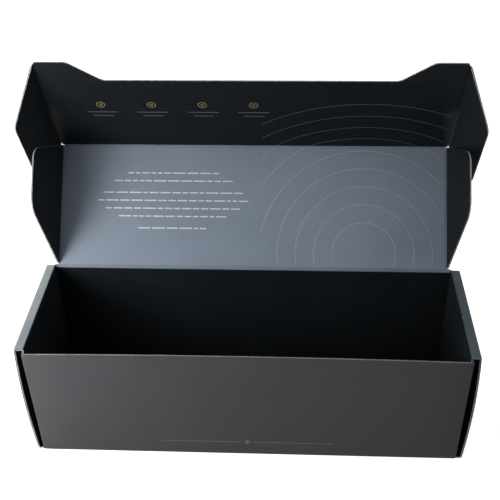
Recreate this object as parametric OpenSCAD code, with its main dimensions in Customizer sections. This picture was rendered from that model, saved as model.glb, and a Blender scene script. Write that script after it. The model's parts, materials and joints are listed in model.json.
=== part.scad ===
// Roll-end mailer box of fluted board for one bottle, standing open.
// The frame: X runs along the box, Y towards the back, Z up.
// The origin is the middle of the underside of the base.

/* [Board] */
// Thickness of the fluted board
board_t = 1.4; // [1:0.1:2.2]
// Slit left at each crease so that a flap can turn
crease_gap = 0.15; // [0.1:0.05:0.3]
// Room between plies that lie against each other
ply_gap = 0.15; // [0.1:0.05:0.3]

/* [Tray] */
// Length over the two outer side walls
box_len = 340; // [280:1:400]
// Depth over the front and back walls
box_depth = 105.5; // [96:0.5:130]
// Height to the rolled tops of the side walls
side_h = 109; // [100:0.5:130]
// Drop of the front wall's cut edge below the rolled tops
front_drop = 4; // [2:0.5:10]
// Bow of each outer side wall at half its height
side_bow = 2; // [0.5:0.1:4]
// Space between an outer side wall and its corner flaps
roll_gap = 3.2; // [0.5:0.1:4]
// Step from the front wall's inner face to a side wall's cut edge
side_inset = 0.35; // [0.2:0.05:1]
// Length of each corner flap along the side of the box
corner_flap_len = 44; // [20:1:46]
// Drop of a corner flap's cut edge below the front wall's
corner_flap_drop = 1; // [0.5:0.1:6]
// Width of each locking tab under an inner side wall
tab_w = 26; // [12:1:32]
// Distance between the middles of the two tabs of a side
tab_pitch = 52; // [40:1:56]

/* [Lid] */
// Angle of the lid, 0 closed and 90 upright
lid_open = 132; // [100:0.5:165]
// Fold of the lid flaps, 0 flat and 90 square
lid_flap_fold = 83.5; // [80:0.5:90]
// Reach of the lid flaps past their crease
lid_flap_w = 61; // [40:1:80]
// Length of lid crease between the hinge and a lid flap's far corner
lid_flap_rear = 39.5; // [20:0.5:45]
// Length of lid crease between the front crease and a lid flap's far corner
lid_flap_front = 16.5; // [12:0.5:26]
// Radius of a lid flap's rear corner
lid_flap_rear_r = 18; // [5:1:22]
// Radius of a lid flap's front corner
lid_flap_front_r = 11; // [4:1:14]

/* [Tuck flap] */
// Fold of the tuck flap, 0 flat and 90 square
tuck_fold = 67; // [50:0.5:75]
// Depth of the tuck flap at its two lobes
tuck_depth = 103.5; // [92:0.5:105]
// Depth of the tuck flap between its lobes
tuck_mid = 83; // [60:0.5:88]
// Width of the flat top of a lobe
lobe_w = 25; // [14:1:40]
// Width of the slope from a lobe down to the middle
lobe_slope = 24; // [15:1:50]
// Radius of a lobe's corner at the slope
lobe_r = 7; // [2:0.5:10]

/* [Ears] */
// Fold of the ears, 0 flat and 90 square
ear_fold = 66.5; // [45:0.5:72]
// Reach of an ear past its crease
ear_w = 38.5; // [25:0.1:42]
// Drop of an ear's upper end below the lobe's top
ear_top_drop = 3.5; // [3:0.1:12]
// Slope of an ear's upper edge, as crease length over its reach
ear_top_run = 30.5; // [10:1:40]
// Length of tuck crease left free below an ear
ear_foot = 1.5; // [1:0.1:6]
// Slope of an ear's lower edge, as crease length over its reach
ear_foot_run = 0; // [0:0.5:12]
// Radius of an ear's upper far corner
ear_r = 10; // [2:0.5:12]
// Radius of an ear's lower far corner
ear_foot_r = 3; // [1:0.5:12]

/* [Hidden] */

outside_grey = "#4b494b";
inside_slate = "#6e7680";
inside_black = "#1b1c1f";
bend_fn = 48;
bow_fn = 1440;
corner_steps = 10;
overlap = 0.5;

// Planes of the tray, each for the +X or the +Y half
outer_x = box_len / 2;
outer_y = box_depth / 2;
corner_x = outer_x - board_t - roll_gap;
inner_wall_x = corner_x - 2 * board_t - ply_gap;
front_h = side_h - front_drop;
back_h = side_h - board_t - crease_gap;
side_len = box_depth - 2 * (board_t + side_inset);
corner_flap_h = front_h - corner_flap_drop;
tab_tip = ply_gap;

// Creases of the lid, so that it closes inside the tray
hinge_y = outer_y - board_t / 2;
hinge_z = side_h - board_t / 2;
lid_len = hinge_y + outer_y - 2 * board_t - ply_gap;
ear_crease_x = inner_wall_x - ply_gap - board_t;
lid_crease_x = ear_crease_x - ply_gap - board_t;

// Outline helpers
function unit(v) = v / norm(v);
function turn(a) = (a + 540) % 360 - 180;

// Points of the arc that rounds the corner b between a and c
function corner_arc(a, b, c, r) =
  let (
    u = unit(a - b),
    v = unit(c - b),
    half = acos(u * v) / 2,
    middle = b + unit(u + v) * r / sin(half),
    from = b + u * r / tan(half) - middle,
    to = b + v * r / tan(half) - middle,
    start = atan2(from.y, from.x),
    sweep = turn(atan2(to.y, to.x) - start)
  )
  [
    for (i = [0:corner_steps])
      let (at = start + sweep * i / corner_steps)
      middle + r * [cos(at), sin(at)],
  ];

// An outline from points with radii, [x, y, radius]
function rounded(path) =
  let (n = len(path), at = [for (p = path) [p.x, p.y]])
  [
    for (i = [0:n - 1])
      each path[i].z > 0 ? corner_arc(at[(i + n - 1) % n], at[i], at[(i + 1) % n], path[i].z) : [at[i]],
  ];

// Quarter of a round bend, below and left of its middle
module bend() {
  intersection() {
    circle(board_t, $fn = bend_fn);
    translate([-board_t, -board_t]) square(board_t);
  }
}

// Both halves of what is the same at each end of the box
module both_ends() {
  children();
  mirror([1, 0, 0]) children();
}

// Both halves of what is the same at front and back
module front_and_back() {
  children();
  mirror([0, 1, 0]) children();
}

// Section of the base with the front and back walls, as [Y, Z]
module wall_section() {
  flat = outer_y - board_t;
  translate([-flat, 0]) square([2 * flat, board_t]);
  translate([-flat, board_t]) bend();
  translate([flat, board_t]) mirror([1, 0]) bend();
  translate([-outer_y, board_t]) square([board_t, front_h - board_t]);
  translate([flat, board_t]) square([board_t, back_h - board_t]);
}

// Bowed outer wall as the lens between two equal arcs, as [X, Z]
module bowed_wall() {
  chord = side_h - 2 * board_t;
  arc_r = (chord * chord / 4 + side_bow * side_bow) / (2 * side_bow);
  arc_x = outer_x + side_bow - arc_r;
  intersection() {
    difference() {
      translate([arc_x, side_h / 2]) circle(arc_r, $fn = bow_fn);
      translate([arc_x - board_t, side_h / 2]) circle(arc_r, $fn = bow_fn);
    }
    translate([outer_x - board_t, board_t]) square([board_t + side_bow, chord]);
  }
}

// Section of one double side wall with its rolled top, as [X, Z]
module side_section() {
  strip_x = corner_x - 2 * board_t;
  translate([strip_x, 0]) square([outer_x - board_t - strip_x, board_t]);
  translate([outer_x - board_t, board_t]) mirror([1, 0]) bend();
  bowed_wall();
  translate([outer_x - board_t, side_h - board_t]) rotate(180) bend();
  translate([inner_wall_x + board_t, side_h - board_t])
    square([outer_x - inner_wall_x - 2 * board_t, board_t]);
  translate([inner_wall_x + board_t, side_h - board_t]) mirror([0, 1]) bend();
  translate([inner_wall_x, board_t + ply_gap]) square([board_t, side_h - 2 * board_t - ply_gap]);
}

// Corner flap behind a side wall, with its bend from the front wall
module corner_flap() {
  bend_x = corner_x - board_t;
  bend_y = board_t - outer_y;
  foot = board_t + ply_gap;
  translate([bend_x, bend_y, foot]) linear_extrude(corner_flap_h - foot) {
    mirror([1, 0]) bend();
    square([board_t, corner_flap_len - board_t]);
  }
}

// Places of the locking tabs along one side
module at_tabs() {
  for (y = [-tab_pitch / 2, tab_pitch / 2]) translate([inner_wall_x, y, 0]) children();
}

// Base, front wall, back wall, double side walls, corner flaps and tabs of one sheet
module tray() {
  flat_x = corner_x - board_t;
  color(outside_grey) {
    difference() {
      union() {
        rotate([90, 0, 90]) linear_extrude(2 * flat_x, center = true) wall_section();
        both_ends() rotate([90, 0, 0]) linear_extrude(side_len, center = true) side_section();
      }
      both_ends() at_tabs() translate([-ply_gap, -tab_w / 2 - ply_gap, -overlap])
        cube([board_t + 2 * ply_gap, tab_w + 2 * ply_gap, board_t + overlap]);
    }
    both_ends() front_and_back() corner_flap();
    both_ends() at_tabs() translate([0, -tab_w / 2, tab_tip])
      cube([board_t, tab_w, board_t + ply_gap + overlap - tab_tip]);
  }
}

// Frame of the lid: Y from the hinge to the front crease, Z to its inner face
module on_lid() {
  translate([0, hinge_y, hinge_z]) rotate([180 - lid_open, 0, 0]) children();
}

// Frame of the tuck flap: Y from its crease to its lobes, Z to its inner side
module on_tuck() {
  on_lid() translate([0, lid_len, board_t / 2]) rotate([tuck_fold, 0, 0]) children();
}

// Board under an inner face at Z 0
module board(outline) {
  translate([0, 0, -board_t]) linear_extrude(board_t) polygon(outline);
}

// Top panel of the lid, with the round edge that turns on the back wall
module lid_panel() {
  half_w = lid_crease_x - crease_gap;
  color(inside_slate) on_lid() {
    translate([-half_w, 0, -board_t / 2]) cube([2 * half_w, lid_len - crease_gap, board_t]);
    rotate([0, 90, 0]) cylinder(h = 2 * half_w, d = board_t, center = true, $fn = bend_fn);
  }
}

// Flap at the +X end of the lid
module lid_flap() {
  root = board_t;
  end = lid_len - board_t;
  outline = rounded([
    [crease_gap, root, 0],
    [lid_flap_w, lid_flap_rear, lid_flap_rear_r],
    [lid_flap_w, lid_len - lid_flap_front, lid_flap_front_r],
    [crease_gap, end, 0],
  ]);
  on_lid() translate([lid_crease_x, 0, board_t / 2]) rotate([0, -lid_flap_fold, 0]) board(outline);
}

module right_lid_flap() {
  color(inside_black) lid_flap();
}

module left_lid_flap() {
  color(inside_black) mirror([1, 0, 0]) lid_flap();
}

// Front flap of the lid, with a lobe at each end
module tuck_flap() {
  end_x = ear_crease_x - crease_gap;
  slope_x = end_x - lobe_w;
  mid_x = slope_x - lobe_slope;
  right_edge = [
    [end_x, crease_gap, 0],
    [end_x, tuck_depth, ear_top_drop],
    [slope_x, tuck_depth, lobe_r],
    [mid_x, tuck_mid, lobe_r],
  ];
  left_edge = [for (i = [len(right_edge) - 1:-1:0]) [-right_edge[i].x, right_edge[i].y, right_edge[i].z]];
  color(inside_black) on_tuck() board(rounded(concat(right_edge, left_edge)));
}

// Ear at the +X end of the tuck flap
module ear() {
  top = tuck_depth - ear_top_drop;
  outline = rounded([
    [crease_gap, ear_foot, 0],
    [ear_w, ear_foot + ear_foot_run, ear_foot_r],
    [ear_w, top - ear_top_run, ear_r],
    [crease_gap, top, 0],
  ]);
  on_tuck() translate([ear_crease_x, 0, 0]) rotate([0, -ear_fold, 0]) board(outline);
}

module right_ear() {
  color(inside_black) ear();
}

module left_ear() {
  color(inside_black) mirror([1, 0, 0]) ear();
}

tray();
lid_panel();
left_lid_flap();
right_lid_flap();
tuck_flap();
left_ear();
right_ear();
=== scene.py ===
"""Folds an open roll-end mailer box out of fluted board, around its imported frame.

Every panel starts as a flat piece of one die-cut blank, with X along the flutes and Y across them.
It gets two liners and the fluted medium between them, and is then folded into its place.
"""

import json
import math
import random
from collections import namedtuple
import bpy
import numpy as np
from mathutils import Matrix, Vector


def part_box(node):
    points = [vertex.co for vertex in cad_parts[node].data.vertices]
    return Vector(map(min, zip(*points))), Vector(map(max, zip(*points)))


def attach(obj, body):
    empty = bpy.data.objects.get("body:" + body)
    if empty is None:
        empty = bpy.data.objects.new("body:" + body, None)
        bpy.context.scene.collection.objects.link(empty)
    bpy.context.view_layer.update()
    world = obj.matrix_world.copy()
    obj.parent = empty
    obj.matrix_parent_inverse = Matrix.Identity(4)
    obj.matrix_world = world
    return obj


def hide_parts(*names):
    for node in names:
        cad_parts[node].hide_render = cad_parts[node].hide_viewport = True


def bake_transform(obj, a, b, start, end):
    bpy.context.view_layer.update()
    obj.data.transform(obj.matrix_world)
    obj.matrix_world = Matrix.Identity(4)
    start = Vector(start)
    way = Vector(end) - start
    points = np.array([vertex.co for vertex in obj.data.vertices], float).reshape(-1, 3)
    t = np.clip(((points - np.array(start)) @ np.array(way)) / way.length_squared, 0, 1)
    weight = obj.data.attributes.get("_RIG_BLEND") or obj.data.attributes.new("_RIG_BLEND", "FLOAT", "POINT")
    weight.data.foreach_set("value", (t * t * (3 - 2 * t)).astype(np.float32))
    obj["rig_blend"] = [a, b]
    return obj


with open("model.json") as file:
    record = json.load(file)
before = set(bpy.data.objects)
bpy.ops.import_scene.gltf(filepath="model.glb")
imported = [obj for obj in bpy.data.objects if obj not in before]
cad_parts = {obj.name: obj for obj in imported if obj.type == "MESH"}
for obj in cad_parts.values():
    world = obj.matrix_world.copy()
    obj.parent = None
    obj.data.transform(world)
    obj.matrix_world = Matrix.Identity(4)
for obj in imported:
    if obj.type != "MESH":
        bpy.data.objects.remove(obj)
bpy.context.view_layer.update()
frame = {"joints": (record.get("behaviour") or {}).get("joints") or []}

from types import SimpleNamespace

import bmesh
import bpy
from bpy.props import FloatProperty, FloatVectorProperty, IntProperty, PointerProperty
from mathutils import Color, Matrix, Vector

bl_info = {
    "name": "Open mailer box",
    "version": (1, 0, 0),
    "blender": (4, 5, 0),
    "location": "3D View > Sidebar > Mailer box",
    "description": "Folds an open roll-end mailer box out of fluted board",
    "category": "Add Mesh",
}

MM = 0.001
JOINTS = {joint["name"]: joint for joint in frame["joints"]}
TRAY_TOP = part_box("tray")[1]
AXES = {"x": Vector((1, 0, 0)), "y": Vector((0, 1, 0)), "z": Vector((0, 0, 1))}
MIRROR_X = Matrix.Diagonal((-1, 1, 1, 1))
SIDES = {"left": -1, "right": 1}

# How near a point counts as on a cut or on a line, and the least square of a length to divide by
CUT_REACH = 1e-7
TOUCH = 1e-6
LEAST_SQUARE = 1e-12

# Least angle of a sharp edge, profile of a round bevel and edges in the end of a lobe's corner
SHARP_ANGLE = math.radians(35)
ROUND_PROFILE = 0.5
LOBE_STEPS = 3

# Roughness and shine of each print
SHEEN = {
    "outside_grey": (0.6, 0.12),
    "inside_slate": (0.5, 0.45),
    "rolled_slate": (0.48, 0.34),
    "inside_black": (0.55, 0.09),
}

# Noises of the materials: waves a metre, stretch, detail, the range that shows and how strongly it shows
Noise = namedtuple("Noise", "scale stretch detail low high strength")
NOISES = {
    "clouds": Noise(22, (1, 1, 1), 4, 0.3, 0.7, 1),
    "fibres": Noise(900, (0.35, 1, 1), 3, 0.35, 0.75, 0.22),
    "streaks": Noise(45, (1, 9, 1), 5, 0.58, 0.8, 0.12),
    "chips": Noise(520, (1, 1, 1), 4, 0.78, 0.98, 1),
    "cut_fibres": Noise(1400, (0.5, 1, 1), 3, 0.35, 0.65, 1),
    "dust": Noise(160, (1, 1, 1), 3, 0.5, 0.75, 0.35),
    "ink_grain": Noise(800, (1, 1, 1), 3, 0.35, 0.7, 1),
}

# Tints of a colour, as what multiplies it and what is added to it
TINTS = {
    "light_cloud": (1.06, 0),
    "dark_cloud": (0.94, 0),
    "scuffed": (1.6, 0.012),
    # Paler print beside the ears' folds: partly flex wear, partly a painted sheen of the board's curve
    "rubbed_and_sheen": (1.6, 0.08),
    "dark_paper": (0.66, 0),
    "thin_ink": (0.72, 0),
}

# Reach of full wear into the chips, and the clouds' range over which the roughness moves up and down
WEAR_REACH = 0.3
GLOSS_RANGE = (0.25, 0.75)
GLOSS_SWING = 0.05

# Strength and height of the fibres' bump on print and on bare paper
PRINT_BUMP = (0.5, 0.02 * MM)
PAPER_BUMP = (0.6, 0.05 * MM)
PAPER_ROUGHNESS = 0.9
PAPER_SHINE = 0.2
INK_ROUGHNESS = 0.55

# Strength of each worn place, where the two fold entries pale the print beside the ears' folds as flex wear
# and painted sheen; above 1, a spot is bare further out
WORN = {"fold": 0.26, "fold_foot": 1.0, "tray_corner": 2.0, "rolled_top": 1.2, "ear_tip": 1.5}

# Shares of the reach of the paler band beside the ears' folds, partly flex wear and partly painted sheen, at
# which the board is cut so that the band can fade
RUB_AND_SHEEN_STEPS = (0.06, 0.14, 0.25, 0.4, 0.6, 0.8, 1.0)

# Widths of the block's lines, group by group, as shares of the longest line
BLOCK_LINES = ((0.62, 0.8), (0.9, 1.0, 0.86, 0.7), (0.42,))

# Row and width, as a share of the rings' pitch, of each line under a ring
CAPTION_LINES = ((2, 0.62), (3, 0.4))

# Side and place in metres of each square lamp, and the point that they all look at
LAMPS = {
    "near": (0.12, (-0.33, -0.18, 0.2)),
    "key": (0.32, (-0.47, -0.33, 0.44)),
    "front": (0.5, (-0.1, -0.9, 0.75)),
    "right": (0.5, (0.75, -0.1, 0.8)),
    "top": (0.8, (-0.25, -0.2, 1.3)),
    "rear": (0.9, (-0.7, 0.78, 0.8)),
}
LAMP_AIM = Vector((0, 0, 0.1))

# Width of the camera's sensor in millimetres, radius in metres and edges of the floor, white on a screen
SENSOR_WIDTH = 36.0
FLOOR_RADIUS = 6.0
FLOOR_STEPS = 64
SCREEN_WHITE = 255

# Places of a piece's materials, where BEYOND is the print past a fold and LINING the one past the next
OUTSIDE, INSIDE, PAPER, FLUTE, BEYOND, LINING = range(6)


def joint_place(name):
    """A joint's place in the frame."""
    return Vector(JOINTS[name]["pos_m"])


def joint_axis(name):
    """A joint's axis in the frame."""
    return Vector(JOINTS[name]["axis"])


def srgb(red, green, blue):
    """A colour given as 0 to 255 on a screen, as scene light."""
    shares = [value / SCREEN_WHITE for value in (red, green, blue)]
    return tuple(Color(shares).from_srgb_to_scene_linear())


def length(label, text, millimetres):
    """A length property with its default in millimetres."""
    return FloatProperty(
        name=label, description=text, default=millimetres * MM, unit="LENGTH", subtype="DISTANCE"
    )


def share(label, text, default):
    """A property from 0 to 1."""
    return FloatProperty(name=label, description=text, default=default, min=0, max=1, subtype="FACTOR")


def angle(label, text, degrees):
    """An angle property with its default in degrees."""
    return FloatProperty(
        name=label, description=text, default=math.radians(degrees), unit="ROTATION", subtype="ANGLE"
    )


def colour(label, text, red, green, blue):
    """A colour property with its default as 0 to 255 on a screen."""
    return FloatVectorProperty(
        name=label, description=text, default=srgb(red, green, blue), min=0, max=1, subtype="COLOR"
    )


def power(label, text, watts):
    """A lamp's power property."""
    return FloatProperty(name=label, description=text, default=watts, min=0, unit="POWER")


class BoardSettings(bpy.types.PropertyGroup):
    """The fluted board and how it creases."""

    thickness: length("Thickness", "Thickness of the fluted board", 1.4)
    liner: length("Liner", "Thickness of each flat liner", 0.28)
    medium: length("Medium", "Thickness of the fluted paper", 0.22)
    pitch: length("Flute pitch", "Distance from one flute to the next", 3.4)
    washboard: length("Washboard", "Height of the ripple that the flutes leave on a liner", 0.035)
    rim: length("Worn rim", "Width of the rim along a cut edge where the print wears", 0.45)
    edge_crush: share("Edge crush", "Share of its thickness that the board loses at a cut edge", 0.35)
    margin: length("Crease margin", "Reach of the crushed board on each side of a bend", 1.0)
    crush: share("Crease crush", "Share of its thickness that the board loses in a crease", 0.4)
    # The next two set the paler band beside the ears' folds: partly flex wear, partly a painted sheen where
    # the board curves
    sheen_and_rub_reach: length("Rub reach", "Width of the paler print beside a stiff fold", 14.0)
    sheen_and_rub_foot: length("Rub foot", "Width of the paler print at the foot of that fold", 5.0)
    nick: length("Nick", "Size of the worn spots", 3.0)
    nick_y: length("Nick place", "Place of the worn spot along the right rolled top", -8.0)
    fold_wear: share("Fold wear", "Wear of the print along a crease", 0.25)
    flute_steps: IntProperty(name="Flute steps", description="Faces along one flute wave", default=6)
    bend_steps: IntProperty(name="Bend steps", description="Faces around one bend", default=6)
    corner_steps: IntProperty(name="Corner steps", description="Edges of a round corner", default=10)


class TraySettings(bpy.types.PropertyGroup):
    """The tray's own sizes, beside those that the frame gives."""

    bow: length("Side bow", "Bow of each outer side wall at half its height", 2.0)
    roll_gap: length("Roll gap", "Space between an outer side wall and its corner flaps", 3.2)
    roll_r: length("Roll radius", "Bend of the board's middle at a rolled top", 0.3)
    roll_crush: share("Roll crush", "Share that the board loses on the inner side of those bends", 0.6)
    splay: length("Splay", "How much wider the tray stands at each end of its front's top", 1.1)
    ply_gap: length("Ply gap", "Room between plies that lie against each other", 0.15)
    side_inset: length("Side inset", "Step from the front wall's face to a side wall's cut edge", 0.35)
    front_drop: length("Front drop", "Drop of the front wall's edge below the rolled tops", 4.0)
    front_sag: length("Front sag", "Bend of the front wall's edge into the tray at its middle", 2.0)
    flap_reach: length("Corner flap reach", "Length of each corner flap along the side", 44.0)
    flap_drop: length("Corner flap drop", "Drop of a corner flap below the front wall's edge", 1.0)
    tab_w: length("Tab width", "Width of each locking tab", 26.0)
    tab_pitch: length("Tab pitch", "Distance between the two tabs of a side", 52.0)
    hinge_strip: length("Hinge strip", "Length of back wall that has the lid's print", 2.0)
    bow_steps: IntProperty(name="Bow steps", description="Faces up an outer side wall", default=14)
    sag_steps: IntProperty(name="Sag steps", description="Faces along half of the front wall", default=5)


class LidSettings(bpy.types.PropertyGroup):
    """The lid with its flaps, tuck flap and ears."""

    lid_flap_fold: angle("Lid flap fold", "Fold of the lid flaps, square at 90", 83.5)
    lid_flap_w: length("Lid flap reach", "Reach of the lid flaps past their crease", 61.0)
    lid_flap_rear: length("Lid flap rear", "Crease length before a lid flap's rear corner", 39.5)
    lid_flap_front: length("Lid flap front", "Crease length past a lid flap's front corner", 16.5)
    lid_flap_rear_r: length("Rear corner radius", "Radius of a lid flap's rear corner", 18.0)
    lid_flap_front_r: length("Front corner radius", "Radius of a lid flap's front corner", 11.0)
    tuck_depth: length("Tuck depth", "Depth of the tuck flap at its lobes", 103.5)
    tuck_mid: length("Tuck middle", "Depth of the tuck flap between its lobes", 83.0)
    lobe_w: length("Lobe width", "Width of the flat top of a lobe", 25.0)
    lobe_slope: length("Lobe slope", "Width of the slope from a lobe to the middle", 24.0)
    lobe_r: length("Lobe radius", "Radius of a lobe's corners at the slope", 7.0)
    ear_fold: angle("Ear fold", "Fold of the ears, square at 90", 66.5)
    ear_w: length("Ear reach", "Reach of an ear past its crease", 38.5)
    ear_top_drop: length("Ear top drop", "Drop of an ear's upper end below the lobe", 3.5)
    ear_top_run: length("Ear top run", "Slope of an ear's upper edge along the crease", 30.5)
    ear_foot: length("Ear foot", "Crease length left free below an ear", 1.5)
    ear_r: length("Ear radius", "Radius of an ear's upper far corner", 10.0)
    ear_foot_r: length("Ear foot radius", "Radius of an ear's lower far corner", 3.0)
    slit: length("Slit", "Crease length left free at each end of a flap", 0.45)
    crease_gap: length("Crease gap", "Slit left at each crease", 0.15)
    crease_half: length("Crease half", "Half the width of a crease strip", 1.6)
    hinge_r: length("Hinge radius", "Bend of the board at the lid's hinge", 1.5)
    score_half: length("Score half", "Half the width of the groove scored along the lid's hinge", 0.5)
    score_depth: length("Score depth", "Depth of that groove in the inner face", 0.25)


class ColourSettings(bpy.types.PropertyGroup):
    """The printed colours and the bare paper."""

    outside_grey: colour("Outside", "Warm grey print of the outside", 71, 69, 72)
    inside_slate: colour("Lid inside", "Slate print of the lid's inside", 106, 117, 131)
    rolled_slate: colour("Rolled tops", "Print on the rolled tops of the side walls", 52, 62, 68)
    inside_black: colour("Inside", "Near black print of the tray and the flaps", 20, 24, 27)
    paper: colour("Paper", "Bare paper at cut edges and worn spots", 225, 225, 222)
    flute: colour("Flutes", "Paper of the flutes and the backs of the liners", 178, 176, 171)
    pale_ink: colour("Pale ink", "Ink of the lines on the lid", 205, 209, 213)
    faint_ink: colour("Faint ink", "Ink of the thin arcs on the lid", 158, 165, 172)
    gold_ink: colour("Gold ink", "Ink of the small rings on the tuck flap", 140, 126, 78)
    dim_ink: colour("Dim ink", "Ink of the thin lines on the tuck flap", 92, 95, 98)
    mauve_ink: colour("Mauve ink", "Ink of the mark on the front wall", 98, 93, 95)


class PrintSettings(bpy.types.PropertyGroup):
    """Lines and rings printed on the box."""

    line: length("Line", "Height of a printed line", 1.0)
    line_pitch: length("Line pitch", "Distance from one printed line to the next", 6.6)
    gap: length("Gap", "Gap between two dashes of a line", 1.5)
    dash_short: length("Short dash", "Length of the shortest dash", 3.0)
    dash_long: length("Long dash", "Length of the longest dash", 11.0)
    block_x: length("Block", "Middle of the block of lines on the lid", -66.0)
    block_top: length("Block top", "Place of the block's first line, from the lid's hinge", 78.0)
    block_w: length("Block width", "Width of the longest line", 122.0)
    arc_x: length("Arc middle", "Middle of the arcs along the lid", 92.0)
    arc_y: length("Arc foot", "Middle of the arcs, from the lid's hinge", 12.0)
    arc_first: length("First arc", "Radius of the smallest arc", 26.0)
    arc_pitch: length("Arc pitch", "Distance from one arc to the next", 15.0)
    arc_line: length("Arc line", "Width of an arc's line", 0.4)
    arc_from: length("Arc limit", "Place along the lid where the arcs begin", 8.0)
    border: length("Border", "Bare border at the creases beside the arcs", 3.0)
    ring_r: length("Ring radius", "Radius of the rings on the tuck flap", 3.2)
    ring_line: length("Ring line", "Width of a ring's line", 0.7)
    ring_core: share("Ring core", "Radius of the ring inside a ring, as a share of its own", 1 / 3)
    ring_y: length("Ring row", "Place of the row of rings, from the tuck flap's crease", 54.0)
    ring_x: length("First ring", "Place of the first ring along the tuck flap", -118.0)
    ring_pitch: length("Ring pitch", "Distance from one ring to the next", 40.0)
    caption_line: length("Caption line", "Height of a line under a ring", 0.8)
    caption_pitch: length("Caption pitch", "Distance from one row under a ring to the next", 4.62)
    rule: length("Rule", "Length of each line on the front wall", 62.0)
    rule_line: length("Rule line", "Height of the lines on the front wall", 0.7)
    rule_z: length("Rule place", "Place of the lines above the foot of the front wall", 15.0)
    diamond: length("Diamond", "Half the width of the diamond between the lines", 2.6)
    film: length("Film", "Thickness of the ink above the print", 0.05)
    arcs: IntProperty(name="Arcs", description="Number of arcs", default=9)
    arc_steps: IntProperty(name="Arc steps", description="Edges around a whole arc", default=128)
    rings: IntProperty(name="Rings", description="Number of rings", default=4)
    ring_steps: IntProperty(name="Ring steps", description="Edges around a ring", default=48)
    seed: IntProperty(name="Seed", description="Choice of dash lengths", default=4)


class StageSettings(bpy.types.PropertyGroup):
    """Camera, lamps and floor."""

    lens: FloatProperty(name="Lens", description="Focal length of the camera", default=63.0, unit="CAMERA")
    camera_place: FloatVectorProperty(
        name="Camera", description="Place of the camera", default=(0.0329, -0.516, 0.55),
        subtype="TRANSLATION", unit="LENGTH",
    )
    yaw: angle("Yaw", "Turn of the view away from +Y, to the right", -3.37)
    pitch: angle("Pitch", "Tilt of the view below the horizon", 36.67)
    roll: angle("Roll", "Roll of the picture", -1.27)
    near: power("Near lamp", "Power of the small lamp close by the left front corner", 1.0)
    key: power("Key lamp", "Power of the soft lamp in front on the left", 2.2)
    front: power("Front lamp", "Power of the soft lamp in front", 0.35)
    right: power("Right lamp", "Power of the soft lamp on the right", 2.4)
    top: power("Top lamp", "Power of the soft lamp above", 2.0)
    rear: power("Rear lamp", "Power of the lamp behind on the left", 24.0)
    floor_grey: share("Floor", "Share of light that the floor throws back", 0.4)
    floor_glow: share("Floor glow", "White that the floor adds where it is seen directly", 0.92)


GROUPS = {
    "mailer_board": BoardSettings,
    "mailer_tray": TraySettings,
    "mailer_lid": LidSettings,
    "mailer_colours": ColourSettings,
    "mailer_print": PrintSettings,
    "mailer_stage": StageSettings,
}


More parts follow.
